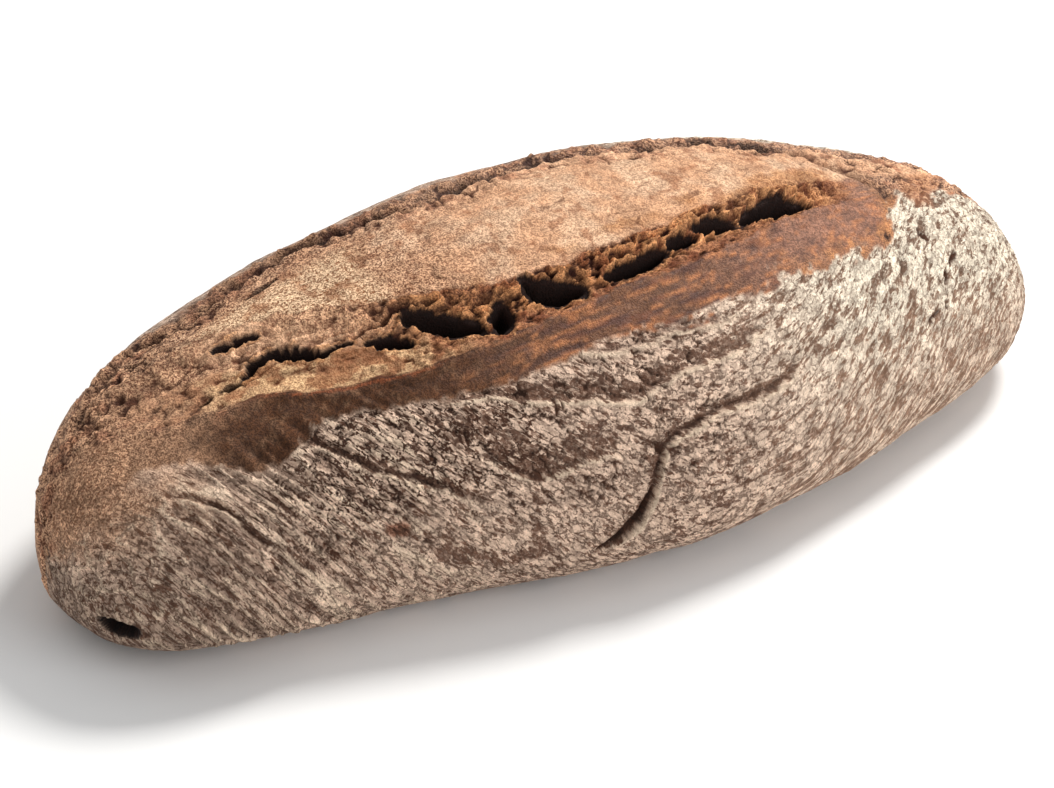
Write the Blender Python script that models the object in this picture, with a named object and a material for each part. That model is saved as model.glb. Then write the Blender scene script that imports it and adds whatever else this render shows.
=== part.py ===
"""A long rye loaf, one solid piece of bread.

The form is built from the outside in: a plain loaf from its length, widths and height, then the burst
along the top with its torn lip and holes, the crack behind it, the folds in the floury skin, and a
little unevenness all over. Lengths are in millimetres and angles in degrees, and only the mesh itself
is in metres. X runs along the loaf, -Y is its front and Z is up. Girth angles go round the loaf: 0 at
the front, 90 at the top, 180 at the back and 270 underneath.
"""

from itertools import product

import bpy
import numpy as np
from numpy.polynomial.legendre import legval

MM = 0.001

# The plain loaf.
LENGTH = 320.0
FRONT_HALF_WIDTH = 74.7
BACK_HALF_WIDTH = 66.8
HEIGHT = 86.0
WAIST_HEIGHT = 22.1  # height of the widest line
UNDERSIDE_DROP = 1.42  # the underside would reach this many waist heights down, and the floor cuts it flat
# How much fuller or thinner each outline runs along the loaf, as Legendre weights of order 1 to 4.
FRONT_SWELL = (0.006, 0.206, -0.121, 0.219)
BACK_SWELL = (0.012, -0.048, 0.017, -0.129)
HEIGHT_SWELL = (-0.046, -0.058, -0.014, 0.057)
# Powers of the round ends: 0.5 would be blunt, 1 an ellipse.
WIDTH_END_POWER = 0.903
HEIGHT_END_POWER = 0.816
UNDERSIDE_END_POWER = 0.44
# Powers of the section: below 1 it is squarer than an ellipse.
SECTION_SIDE_POWER = 0.965
SECTION_TOP_POWER = 0.954

# Lines along the loaf, as (x, girth angle).
FLOUR_EDGE = (
    (-150, 64), (-136, 58), (-108, 56), (-84, 50), (-60, 45), (-20, 45), (30, 47), (70, 53), (101, 62),
    (150, 70),
)
TORN_EDGE = (
    (-150, 98), (-142, 85), (-133, 75), (-105, 62), (-88, 54), (-64, 50), (-40, 52), (-13, 56),
    (23, 58), (59, 64), (84, 69), (110, 72), (150, 77),
)
CAVITY_LINE = (
    (-150, 104), (-135, 93), (-112, 84), (-91, 75), (-67, 66), (-35, 60), (9, 62), (43, 66), (77, 72),
    (110, 77), (150, 84),
)
LIP_TOP = (
    (-150, 108), (-130, 102), (-106, 96), (-81, 84), (-57, 74), (-32, 67), (6, 68), (38, 72), (78, 77),
    (110, 82), (150, 89),
)
BACK_CRACK = ((-150, 114), (-105, 115), (-64, 112), (-10, 111), (34, 106), (60, 102), (100, 101), (150, 99))
CROSSING_CRACK = ((60, 102), (79, 99), (93, 95), (103, 84), (109, 75), (104, 63))

# The burst: holes along the cavity line, as (x of its middle, half its length, depth).
HOLES = ((-105, 7, 4.0), (-93, 12, 8.5), (-69, 10, 8.5), (-53, 15, 12.0), (-36, 6, 11.0), (-20, 11, 11.5),
         (6, 12, 9.5), (32, 13, 7.0), (62, 18, 10.0))
BURST_FADES = ((-150, -118), (88, 106))  # where the burst grows at its left end and shrinks at its right
BRIDGE_DEPTH = 3.2  # depth between holes, where crumb strands bridge them
SHELF_SHARE = 0.45  # of the depth that is reached at the inner end of the torn shelf
HOLE_END_POWER = 0.7  # 0.5 would give a hole blunt ends
UNDERCUT = 0.32  # how far a hole reaches back under the lip, as a share of its depth
LIP_RISE = 1.3
LIP_OVERHANG = 3.0
TORN_ROUGHNESS = 1.3
BACK_CRACK_DEPTH = 3.4
BACK_CRACK_HALF_WIDTH = 3.0
CROSSING_CRACK_DEPTH = 1.8
CROSSING_CRACK_HALF_WIDTH = 3.0

# Folds in the front skin, as (line, step height): the skin is raised on the right of the line as drawn.
FOLDS = (
    (((78, 50), (52, 42), (29, 36), (11, 33), (-8, 30), (-29, 33), (-45, 38), (-61, 42)), -1.7),
    (((-74, 35), (-63, 30), (-50, 20), (-35, 18), (-20, 20), (-10, 22)), 1.9),
    (((62, 43), (53, 34), (41, 28), (28, 23), (8, 21), (-5, 18), (-10, 10), (-13, 2), (-26, -8)), -3.0),
    (((-131, 50), (-123, 34), (-114, 20), (-105, 6), (-94, -14)), 1.5),
    (((-101, 51), (-90, 38), (-80, 30), (-69, 24), (-57, 14)), 1.5),
)
FOLD_GIRTH_RADIUS = 62.0  # turns girth degrees into millimetres beside a fold
FOLD_RAISED_REACH = 14.0
FOLD_SUNK_REACH = 9.0
FOLD_END_FADE = 12.0

# A burst bubble low on the left end, as (x, y, z), with its radius and depth.
END_PIT = (-152.0, -33.0, 17.0)
END_PIT_RADIUS = 8.5
END_PIT_DEPTH = 6.0

LUMP_SIZE, LUMP_HEIGHT = 38.0, 1.1
KNOB_SIZE, KNOB_HEIGHT = 13.0, 0.45

# The mesh: columns along the loaf, and rows between the lines above.
COLUMNS = 101
COLUMN_EVENNESS = 0.35  # 0 crowds the columns at the tips, 1 crowds them in the middle
ROW_COUNTS = (3, 18, 4, 4, 6, 8, 4, 9, 2)
LARGEST_BASE_ANGLE = 70.0  # the rows along the base's edge stay this close to the waist at the tips
BASE_FADE = 8.0  # height over which the unevenness fades out to the flat base
CRACK_ROWS_HALF_ANGLE = 3.5


def smooth_step(value, low, high):
    """0 below low, 1 above high, and an S-curve between them."""
    share = np.clip((value - low) / (high - low), 0, 1)
    return share * share * (3 - 2 * share)


def line_at(points, x):
    """The girth angle of a line at x, through its points on a smooth curve."""
    at, angle = np.array(points, float).T
    slope = np.gradient(angle, at)
    i = np.clip(np.searchsorted(at, x) - 1, 0, len(at) - 2)
    run = at[i + 1] - at[i]
    s = np.clip((x - at[i]) / run, 0, 1)
    return (
        angle[i] * (1 + 2 * s) * (1 - s) ** 2
        + angle[i + 1] * s * s * (3 - 2 * s)
        + run * (slope[i] * s * (1 - s) ** 2 + slope[i + 1] * s * s * (s - 1))
    )


def noise(points, size, seed):
    """Smooth random values from about -1 to 1 at points, with bumps of that size."""
    directions = np.random.default_rng(seed).normal(size=(256, 3))
    directions /= np.linalg.norm(directions, axis=1, keepdims=True)
    scaled = points / size
    cell = np.floor(scaled).astype(np.int64)
    inside = scaled - cell
    eased = inside**3 * (inside * (inside * 6 - 15) + 10)
    total = np.zeros(points.shape[:-1])
    for corner in product((0, 1), repeat=3):
        x, y, z = np.moveaxis(cell + corner, -1, 0)
        key = (x * 73856093) ^ (y * 19349663) ^ (z * 83492791)
        key = (key ^ (key >> 13)) * 1274126177
        pull = (directions[(key ^ (key >> 16)) & 255] * (inside - corner)).sum(-1)
        total += pull * np.where(corner, eased, 1 - eased).prod(-1)
    return total * 1.6


def swell(weights, along):
    return legval(along, (1, *weights))


def plain_form(turn, girth):
    """Points of the plain loaf. turn goes from 0 at the left tip to 180 at the right, girth goes round it."""
    along = -np.cos(np.radians(turn))
    end = np.clip(np.sin(np.radians(turn)), 1e-6, 1)
    across, up = np.cos(np.radians(girth)), np.sin(np.radians(girth))
    front = FRONT_HALF_WIDTH * swell(FRONT_SWELL, along)
    back = BACK_HALF_WIDTH * swell(BACK_SWELL, along)
    side = np.where(across > 0, front, back) * end**WIDTH_END_POWER
    rise = (HEIGHT * swell(HEIGHT_SWELL, along) - WAIST_HEIGHT) * end**HEIGHT_END_POWER
    drop = WAIST_HEIGHT * UNDERSIDE_DROP * end**UNDERSIDE_END_POWER
    y = -side * np.sign(across) * np.abs(across) ** SECTION_SIDE_POWER
    height = np.where(up > 0, rise, drop) * np.sign(up) * np.abs(up) ** SECTION_TOP_POWER
    return np.stack([LENGTH / 2 * along, y, WAIST_HEIGHT + height], -1)


def unit(vectors):
    return vectors / np.maximum(np.linalg.norm(vectors, axis=-1, keepdims=True), 1e-9)


def directions_on(turn, girth):
    """The outward normal and the way round the girth, and how many millimetres a girth degree covers."""
    step = 0.2
    around = plain_form(turn, girth + step) - plain_form(turn, girth - step)
    inner = np.clip(turn, 1.0, 179.0)
    lengthwise = plain_form(inner + step, girth) - plain_form(inner - step, girth)
    around_inner = plain_form(inner, girth + step) - plain_form(inner, girth - step)
    per_degree = np.linalg.norm(around, axis=-1) / (2 * step)
    return unit(np.cross(lengthwise, around_inner)), unit(around_inner), per_degree


def base_edge_angle(x):
    """How many girth degrees below the waist the underside meets the floor."""
    end = np.sqrt(1 - (2 * x / LENGTH) ** 2)
    reach = UNDERSIDE_DROP * end**UNDERSIDE_END_POWER
    angle = np.degrees(np.arcsin(np.minimum(1 / reach, 1) ** (1 / SECTION_TOP_POWER)))
    return np.minimum(angle, LARGEST_BASE_ANGLE)


def girth_rows(x):
    """The girth angle of each row at each x, so that rows follow the base, the burst and the cracks."""
    crack = line_at(BACK_CRACK, x)
    base = base_edge_angle(x)
    stops = [
        np.full_like(x, -90.0),
        -base,
        line_at(FLOUR_EDGE, x),
        line_at(TORN_EDGE, x),
        line_at(CAVITY_LINE, x),
        line_at(LIP_TOP, x),
        crack - CRACK_ROWS_HALF_ANGLE,
        crack + CRACK_ROWS_HALF_ANGLE,
        180 + base,
        np.full_like(x, 270.0),
    ]
    parts = []
    for low, high, count in zip(stops, stops[1:], ROW_COUNTS):
        shares = np.arange(count) / count
        parts.append(low[:, None] + (high - low)[:, None] * shares)
    return np.concatenate(parts, 1)


def hole_depth(x):
    """How deep the burst goes below a bridge at x."""
    depth = np.zeros_like(x)
    for middle, half_length, deepest in HOLES:
        inside = np.clip(1 - ((x - middle) / half_length) ** 2, 0, 1)
        depth = np.maximum(depth, deepest * inside**HOLE_END_POWER)
    return depth


def burst_relief(x, girth, per_degree, at):
    """(rise along the normal, shift round the girth) of the burst: shelf, cavity, then overhanging lip."""
    edge, cavity, lip = (line_at(line, x) for line in (TORN_EDGE, CAVITY_LINE, LIP_TOP))
    grows, shrinks = BURST_FADES
    strength = smooth_step(x, *grows) * (1 - smooth_step(x, *shrinks))
    holes = hole_depth(x + 2.0 * noise(at, 9.0, 11))
    depth = BRIDGE_DEPTH + holes
    shelf = np.clip((girth - edge) / (cavity - edge), 0, 1)
    wall = np.clip((girth - cavity) / (lip - cavity), 0, 1)
    beyond = np.maximum(girth - lip, 0) * per_degree
    falls = SHELF_SHARE * shelf + (1 - SHELF_SHARE) * smooth_step(shelf, 0.6, 1.0)
    climbs = smooth_step(wall, 0.0, 0.6)
    rise = -depth * falls * (1 - climbs)
    rise += LIP_RISE * smooth_step(wall, 0.3, 0.8) * np.exp(-beyond / 18.0)
    shift = UNDERCUT * holes * smooth_step(shelf, 0.6, 1.0) * (1 - smooth_step(wall, 0.1, 0.45))
    overhang = LIP_OVERHANG * (0.6 + 0.4 * noise(at, 11.0, 12)) * (0.4 + 0.6 * np.minimum(holes / 8.0, 1))
    shift -= overhang * smooth_step(wall, 0.25, 0.6) * (1 - smooth_step(wall, 0.75, 1.0))
    torn = smooth_step(girth, edge - 2, edge + 1) * (1 - smooth_step(girth, lip, lip + 4))
    rise += TORN_ROUGHNESS * torn * noise(at, 6.0, 13)
    return rise * strength, shift * strength


def back_crack_relief(x, girth, per_degree, at):
    """The narrow torn crack behind the burst, deeper in some places than in others."""
    away = (girth - line_at(BACK_CRACK, x)) * per_degree + 1.2 * noise(at, 10.0, 21)
    groove = np.exp(-((away / BACK_CRACK_HALF_WIDTH) ** 2))
    rim = np.exp(-(((np.abs(away) - 1.8 * BACK_CRACK_HALF_WIDTH) / BACK_CRACK_HALF_WIDTH) ** 2))
    depth = BACK_CRACK_DEPTH * (0.7 + 0.6 * noise(at, 16.0, 22))
    strength = smooth_step(x, -152, -140) * (1 - smooth_step(x, 70, 100))
    return strength * (0.7 * rim - depth * groove)


def nearest_on(line, x, girth):
    """(signed distance to a line drawn on the skin, how far along it, its whole length).

    The distance is positive on the right of the line.
    """
    corners = np.array(line, float) * (1, np.radians(FOLD_GIRTH_RADIUS))
    at = np.stack([x, girth * np.radians(FOLD_GIRTH_RADIUS)], -1)
    nearest = np.full(x.shape, np.inf)
    side = np.zeros_like(x)
    reached = np.zeros_like(x)
    passed = 0.0
    for start, end in zip(corners, corners[1:]):
        way = end - start
        length = np.linalg.norm(way)
        share = np.clip(((at - start) @ way) / length**2, 0, 1)
        off = at - start - share[..., None] * way
        distance = np.linalg.norm(off, axis=-1)
        closer = distance < nearest
        nearest = np.where(closer, distance, nearest)
        side = np.where(closer, np.sign(way[1] * off[..., 0] - way[0] * off[..., 1]), side)
        reached = np.where(closer, passed + share * length, reached)
        passed += length
    return nearest * side, reached, passed


def fold_relief(x, girth):
    """Overlapping sheets of dough: a raised edge that drops at the line, and sinks a little beside it."""
    rise = np.zeros_like(x)
    for line, step in FOLDS:
        away, reached, length = nearest_on(line, x, girth)
        away = away * np.sign(step)
        fades = smooth_step(reached, 0, FOLD_END_FADE)
        fades *= 1 - smooth_step(reached, length - FOLD_END_FADE, length)
        raised = np.exp(-np.maximum(away, 0) / FOLD_RAISED_REACH) * smooth_step(away, -2.0, 2.0)
        sunk = np.exp(-np.maximum(-away, 0) / FOLD_SUNK_REACH) * smooth_step(-away, -2.0, 2.0)
        rise += abs(step) * fades * (0.6 * raised - 0.6 * sunk)
    return rise


def crossing_crack_relief(x, girth):
    """The crack that closes the burst at its right end and runs down into the hook of bare crust."""
    away, reached, length = nearest_on(CROSSING_CRACK, x, girth)
    fades = smooth_step(reached, 0, 15) * (1 - smooth_step(reached, length - 15, length))
    groove = np.exp(-((away / CROSSING_CRACK_HALF_WIDTH) ** 2))
    raised = np.exp(-np.maximum(-away, 0) / 12.0) * smooth_step(-away, -1.0, 2.0)
    return fades * (0.8 * raised - CROSSING_CRACK_DEPTH * groove)


def loaf_points(turn, girth):
    """Points of the finished loaf for grids of turn and girth angles."""
    plain = plain_form(turn, girth)
    normal, around, per_degree = directions_on(turn, girth)
    x = plain[..., 0]
    rise, shift = burst_relief(x, girth, per_degree, plain)
    rise = rise + back_crack_relief(x, girth, per_degree, plain)
    rise = rise + fold_relief(x, girth) + crossing_crack_relief(x, girth)
    uneven = LUMP_HEIGHT * noise(plain, LUMP_SIZE, 31) + KNOB_HEIGHT * noise(plain, KNOB_SIZE, 32)
    rise = rise + uneven * smooth_step(plain[..., 2], 0, BASE_FADE)
    from_pit = np.linalg.norm((plain - END_PIT) * (1, 1, 1.6), axis=-1)
    rise = rise - END_PIT_DEPTH * (1 - smooth_step(from_pit, 0.3 * END_PIT_RADIUS, END_PIT_RADIUS))
    points = plain + rise[..., None] * normal + shift[..., None] * around
    points[..., 2] = np.maximum(points[..., 2], 0)
    return points


def loaf_mesh(name):
    """The loaf as a grid of quads between two tips, centred over the middle of its base."""
    share = np.arange(1, COLUMNS) / COLUMNS
    turn = 180 * (share + COLUMN_EVENNESS * np.sin(2 * np.pi * share) / (2 * np.pi))
    girth = girth_rows(-LENGTH / 2 * np.cos(np.radians(turn)))
    rings = loaf_points(np.repeat(turn[:, None], girth.shape[1], 1), girth)
    tips = loaf_points(np.array([0.0, 180.0]), np.array([0.0, 0.0]))
    points = np.concatenate([rings.reshape(-1, 3), tips])
    low, high = points.min(0), points.max(0)
    points -= ((low[0] + high[0]) / 2, (low[1] + high[1]) / 2, low[2])

    columns, rows = girth.shape
    index = np.arange(columns * rows).reshape(columns, rows)
    ahead = np.roll(index, -1, 1)
    quads = np.stack([index[:-1], index[1:], ahead[1:], ahead[:-1]], -1).reshape(-1, 4)
    left_tip, right_tip = columns * rows, columns * rows + 1
    fans = [(left_tip, int(a), int(b)) for a, b in zip(index[0], ahead[0])]
    fans += [(right_tip, int(b), int(a)) for a, b in zip(index[-1], ahead[-1])]

    mesh = bpy.data.meshes.new(name)
    mesh.from_pydata((points * MM).tolist(), [], quads.tolist() + fans)
    mesh.shade_smooth()
    return mesh


def crust_material():
    material = bpy.data.materials.new("rye_crust")
    material.use_nodes = True
    shader = material.node_tree.nodes["Principled BSDF"]
    shader.inputs["Base Color"].default_value = (0.30, 0.19, 0.12, 1.0)
    shader.inputs["Roughness"].default_value = 0.85
    shader.inputs["Metallic"].default_value = 0.0
    return material


def main():
    for obj in list(bpy.data.objects):
        bpy.data.objects.remove(obj, do_unlink=True)
    mesh = loaf_mesh("loaf")
    mesh.materials.append(crust_material())
    bpy.context.scene.collection.objects.link(bpy.data.objects.new("loaf", mesh))


main()
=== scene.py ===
"""The looks of a long rye loaf: its crackled floury skin, torn burst and crumb, with light and a camera.

The loaf is worked out in millimetres on a fine grid that runs along it and round it. Girth angles go
round the loaf in degrees: 0 at the front, 90 at the top, 180 at the back and 270 underneath.
"""

from itertools import product

import bpy
import numpy as np
from mathutils import Matrix, Vector
from numpy.polynomial.legendre import legval


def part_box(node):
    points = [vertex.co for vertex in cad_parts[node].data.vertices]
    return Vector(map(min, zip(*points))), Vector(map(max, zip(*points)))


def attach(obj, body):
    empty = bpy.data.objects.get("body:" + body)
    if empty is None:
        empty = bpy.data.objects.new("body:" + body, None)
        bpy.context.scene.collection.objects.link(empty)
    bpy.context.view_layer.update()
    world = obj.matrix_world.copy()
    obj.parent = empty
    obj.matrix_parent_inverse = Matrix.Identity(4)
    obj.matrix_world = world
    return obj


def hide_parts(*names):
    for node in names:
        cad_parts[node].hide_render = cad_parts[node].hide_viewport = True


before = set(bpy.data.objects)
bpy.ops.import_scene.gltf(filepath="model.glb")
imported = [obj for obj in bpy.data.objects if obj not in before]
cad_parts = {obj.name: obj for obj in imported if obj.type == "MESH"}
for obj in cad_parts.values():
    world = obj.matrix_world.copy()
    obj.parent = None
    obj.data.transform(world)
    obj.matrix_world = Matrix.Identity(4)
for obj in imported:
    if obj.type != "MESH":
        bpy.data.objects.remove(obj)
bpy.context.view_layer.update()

MM = 0.001

# The plain loaf.
LENGTH = 320.0
FRONT_HALF_WIDTH = 74.7
BACK_HALF_WIDTH = 66.8
HEIGHT = 86.0
WAIST_HEIGHT = 22.1
UNDERSIDE_DROP = 1.42
FRONT_SWELL = (0.006, 0.206, -0.121, 0.219)
BACK_SWELL = (0.012, -0.048, 0.017, -0.129)
HEIGHT_SWELL = (-0.046, -0.058, -0.014, 0.057)
WIDTH_END_POWER = 0.903
HEIGHT_END_POWER = 0.816
UNDERSIDE_END_POWER = 0.44
SECTION_SIDE_POWER = 0.965
SECTION_TOP_POWER = 0.954

# Lines along the loaf, as (x, girth angle).
FLOUR_EDGE = (
    (-150, 68), (-133, 63), (-122, 53), (-113, 45), (-103, 45.5), (-94, 49), (-86, 49), (-72, 45.5),
    (-58, 42.5), (-35, 43), (-14, 45), (14, 45), (45, 49), (77, 51), (96, 55), (107, 68), (120, 72),
    (150, 76),
)
TORN_EDGE = (
    (-150, 98), (-142, 87), (-133, 78), (-105, 66), (-88, 58), (-64, 53), (-40, 53), (-13, 56),
    (23, 59), (59, 64), (84, 69), (110, 72), (150, 77),
)
CAVITY_LINE = (
    (-150, 104), (-135, 93), (-112, 84), (-91, 75), (-67, 66), (-35, 60), (9, 62), (43, 66), (77, 72),
    (110, 77), (150, 84),
)
LIP_TOP = (
    (-150, 108), (-130, 102), (-106, 96), (-81, 84), (-57, 74), (-32, 67), (6, 68), (38, 72), (78, 77),
    (110, 82), (150, 89),
)
BACK_CRACK = (
    (-150, 108), (-139, 110), (-119, 120), (-105, 112), (-88, 113), (-71, 115), (-57, 111), (-43, 107),
    (-30, 105), (0, 105.5), (20, 105), (44, 101), (64, 102), (83, 100), (104, 99), (150, 98),
)
CROSSING_CRACK = ((60, 102), (79, 99), (93, 95), (103, 84), (109, 75), (104, 63))

# Holes in the burst and beyond it, as (line along the middle, half width, depth).
HOLES = (
    (((-105.7, 90), (-100.6, 88.5), (-95, 86)), 1.4, 4),
    (((-103.2, 76.5), (-100, 79), (-94.7, 78.5), (-90.6, 75.5), (-83, 69.5)), 2.7, 9),
    (((-82, 69.5), (-78.5, 70.5), (-75, 69.5)), 1.0, 3.5),
    (((-71, 67), (-66, 64.5), (-61, 61)), 2.4, 8),
    (((-59, 69), (-55, 66), (-49, 61.5), (-42.5, 58.5)), 3.9, 12),
    (((-34.3, 61.5), (-36.8, 56.5)), 4.2, 11),
    (((-25, 65.5), (-22.9, 62.5), (-18, 60.5), (-11, 60)), 3.9, 11),
    (((-2, 61), (4.6, 61.5), (12, 62.5), (19.5, 64)), 2.6, 9),
    (((22, 65.5), (30.3, 65.5)), 1.9, 6),
    (((33.5, 68), (46.4, 67.5)), 2.3, 8),
    (((51.2, 68.5), (57.5, 69.5), (66.7, 71), (77, 71)), 3.2, 10),
)
BACK_HOLES = (
    (((61, 104.5), (67, 103.5)), 1.6, 4),
    (((75, 102.5), (86, 100.5)), 1.8, 5),
    (((31, 107), (37, 107)), 1.4, 3),
    (((-88.5, 101), (-83, 102), (-78.5, 103)), 1.3, 3),
    (((-118, 74.5), (-114.5, 75.8)), 1.7, 4),
    (((-111, 76.2), (-106.5, 75.5)), 1.7, 4),
)
BRINK_SHARE, DEEPEST_BRINK = 0.2, 1.5  # how much of a hole's depth is a steep step at its edge

# Depths, rises and reaches of the burst and the two cracks.
BURST_FADES = ((-150, -118), (84, 100))  # the x between which it starts at the left and ends at the right
TORN_DEPTH = 1.9
SKIN_EDGE_RISE = 0.7
LIP_RISE, LIP_REACH = 1.2, 18.0
HOLE_RIM_RISE = 0.5
SHRED_HEIGHT = 2.6
CRUMB_PIT_DEPTH = 0.8
LIP_CRACK_DEPTH = 0.7
FLAKE_HEIGHT = 0.9
BACK_CRACK_DEPTH, BACK_CRACK_HALF_WIDTH = 3.4, 2.0
BACK_CRACK_RIM_RISE = 0.5
BACK_CRACK_BANK_RISE, BACK_CRACK_BANK_REACH = 1.2, 9.0
CROSSING_CRACK_DEPTH, CROSSING_CRACK_HALF_WIDTH = 1.8, 2.0
CROSSING_BANK_RISE, CROSSING_BANK_REACH = 0.8, 12.0

# Folds in the skin, six in front and then two at the back, as (line, step height, width of bare crust beside
# it, half width of its rim). The skin is raised on the right of the line as drawn.
FOLDS = (
    (((-65, 45.5), (-57.5, 42), (-45.6, 39.5), (-36, 36), (-23.7, 33.5), (-9.6, 30.5), (-2, 32), (9.6, 34.5),
      (25, 35.5), (42, 40)), 1.6, 4.6, 0.75),
    (((-60, 32), (-57.5, 29), (-51, 24), (-48, 20), (-40, 18.5), (-35, 18.5), (-27, 20), (-21, 20),
      (-14, 16)), 1.6, 7.5, 0.55),
    (((-27, -9), (-23.7, -4.5), (-13.7, 2), (-9.6, 7.5), (-6.3, 14), (-4.6, 17.5), (0.4, 20), (12, 22),
      (20.4, 22.5), (30.3, 23), (40, 25.5), (48, 32)), 2.2, 2.4, 0.6),
    (((-34, 45), (-21, 45), (-11, 42.5), (-3, 43), (6, 43), (14, 43.5), (26, 43), (36, 45)), 0.9, 0.1, 0.8),
    (((-105, 52), (-94, 42), (-86.4, 33), (-77.8, 27), (-69.7, 22), (-61.3, 18), (-50, 11)), 1.4, 2.4, 0.5),
    (((-138, 54), (-130, 43.5), (-124.7, 37), (-121.5, 29.5), (-115.3, 20.5), (-110, 12.5),
      (-101, 1)), 1.5, 2.0, 0.5),
    (((72, 150), (40, 143), (8, 147), (-22, 139), (-60, 146)), 1.3, 2.5, 0.6),
    (((-30, 166), (-62, 160), (-96, 166), (-118, 158)), 1.2, 2.0, 0.6),
)
FOLD_GIRTH_RADIUS = 62.0
FOLD_RAISED_REACH = 22.0
FOLD_SUNK_REACH = 9.0
FOLD_END_FADE = 12.0
FOLD_RIM_RISE = 0.18
SHADED_BARE_WIDTH = 3.0  # a fold with a narrower strip of bare crust than this has a crease with strong painted shade

# Patches of the skin, as (line along the middle, half width).
LOW_BROWN_PATCH = (((-66, 3), (-58, 0), (-50, -1.5), (-42, 0)), 3.2)
HIGH_BROWN_PATCH = (((-61, 37), (-52, 32), (-44, 27)), 3.4)
RED_SPOT = (((-84, 13.5), (-79, 12.5)), 2.2)
ORANGE_PATCH = (((119, 70), (124, 79), (132, 84)), 5.5)
SCORCHED_CRUMB = (((-85, 66), (-78, 65.5), (-71, 64)), 3.2)

# The pit in the left end: its middle, the way it lies, its size and its depth.
END_PIT = (-154.0, -31.6, 17.7)
END_PIT_WAY = (0.443, -0.893, 0.067)
END_PIT_HALF_LENGTH, END_PIT_HALF_HEIGHT = 7.4, 3.3
END_PIT_DEPTH = 7.0

# Small dents in the flour, given as holes are.
DENTS = (
    (((111.8, 39.5), (110.4, 35)), 1.1, 3),
    (((119.3, 45.5), (115.3, 42)), 1.2, 1.5),
    (((107, 29.5), (107, 27)), 0.8, 2),
    (((98, 25), (103, 27)), 1.2, 1.5),
    (((109.4, 56), (110.6, 52)), 1.8, 2),
    (((96, 56), (95.6, 54)), 1.2, 1.5),
    (((-26, -5), (-19.5, 0), (-13.7, 4.2), (-9.8, 9)), 1.1, 2.2),
)

# Relief of the skin. Near the floor, up to the height of BASE_FADE, all relief fades out.
LUMP_SIZE, LUMP_HEIGHT = 38.0, 1.1
KNOB_SIZE, KNOB_HEIGHT = 13.0, 0.45
CROWN_LUMP_HEIGHT = 0.5
PLATE_HEIGHT = 0.25
FISSURE_DEPTH = 0.9
GULLY_DEPTH = 0.35
STREAK_HEIGHT = 0.4
CRUST_PIT_DEPTH = 1.0
CRUST_CRACK_DEPTH = 0.9
STRIP_CRACK_DEPTH = 0.5
BASE_FADE = 8.0
LEAST_PER_DEGREE = 0.2

# The grid: columns along the loaf, and rows between the lines above.
COLUMNS = 600
COLUMN_EVENNESS = 0.45
ROW_COUNTS = (10, 140, 14, 40, 56, 96, 14, 52, 10)
LARGEST_BASE_ANGLE = 70.0
CRACK_ROWS_HALF_ANGLE = 3.5
TORN_ROW = sum(ROW_COUNTS[:3])
LIP_ROW = sum(ROW_COUNTS[:5])
CRACK_ROW = sum(ROW_COUNTS[:6]) + ROW_COUNTS[6] // 2
BASE_ROW = ROW_COUNTS[0]

# Which way the crackle of the skin runs, as (x, slope upwards round the girth per step along x).
FLOW = (
    (-160, -1.6), (-115, -1.6), (-85, -1.1), (-60, -0.85), (-25, -0.6), (0, -0.35), (25, 0.05), (50, 0.4),
    (80, 0.7), (160, 0.9),
)
FLOW_RADIUS = 60.0

# Tones of crust, crumb and flour, from 0 to 255: of the high grains, and of the gaps where those differ. The
# deep tone is painted shade for the holes, slits, end pit and dents, and the tone of the hole rims is a
# painted highlight.
TONES = {
    "dark skin": ((94, 59, 36), (42, 23, 13)), "band": ((122, 82, 56), (72, 40, 27)),
    "bright band": ((168, 120, 96),), "orange streak": ((204, 134, 84), (130, 74, 46)),
    "dark streak": ((86, 56, 50),), "orange hook": ((212, 146, 92),), "fleck": ((150, 112, 84),),
    "ruddy crust": ((176, 116, 86),), "shelf": ((186, 128, 90), (80, 42, 26)),
    "left shelf": ((212, 166, 128), (104, 66, 46)), "pale shelf": ((238, 196, 148), (116, 66, 36)),
    "brown shelf": ((168, 110, 72),), "face": ((188, 122, 82), (80, 38, 22)),
    "left face": ((232, 184, 144), (116, 70, 48)), "lip": ((228, 162, 108), (60, 22, 11)),
    "left lip": ((246, 198, 158), (126, 80, 58)), "scorched crumb": ((140, 90, 60),),
    "singed crumb": ((132, 70, 42),), "lip crack": ((122, 62, 38),), "rind": ((172, 92, 54),),
    "under the rind": ((74, 34, 20),), "hole rim highlight": ((228, 166, 112),),
    "strip": ((228, 177, 138), (100, 56, 34)), "pale strip": ((244, 204, 168),),
    "yellow strip": ((255, 220, 180), (150, 98, 60)), "brown strip": ((178, 122, 86),),
    "flake": ((206, 150, 102), (96, 44, 22)), "grey flour": ((238, 206, 181), (96, 61, 43)),
    "cream flour": ((253, 239, 216), (140, 102, 78)), "fold rim": ((232, 210, 182),),
    "crest": ((228, 204, 176),), "red spot": ((166, 100, 72),),
    "orange patch": ((206, 150, 108), (132, 78, 48)), "dent": ((92, 56, 38),),
    "deep": ((36, 15, 8), (16, 6, 4)), "left end": ((242, 190, 150), (132, 88, 62)),
    "coarse crust": ((242, 190, 150), (86, 48, 32)),
}
UPPER_FLOUR_GAP = (112, 76, 54)


def rises(value, low, high):
    """0 below low and 1 above high, with a smooth way between them."""
    share = np.clip((value - low) / (high - low), 0, 1)
    return share * share * (3 - 2 * share)


def falls(value, low, high):
    """1 below low and 0 above high, with a smooth way between them."""
    return 1 - rises(value, low, high)


def hump(value, low, high, edge):
    """1 between low and high, falling to 0 over edge outside them."""
    return rises(value, low - edge, low) * falls(value, high, high + edge)


def bell(value, half_width):
    return np.exp(-((value / half_width) ** 2))


def bank(away, reach):
    """1 up to a line, then slowly falling on the side where away is positive."""
    return np.exp(-np.maximum(away, 0) / reach)


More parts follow.
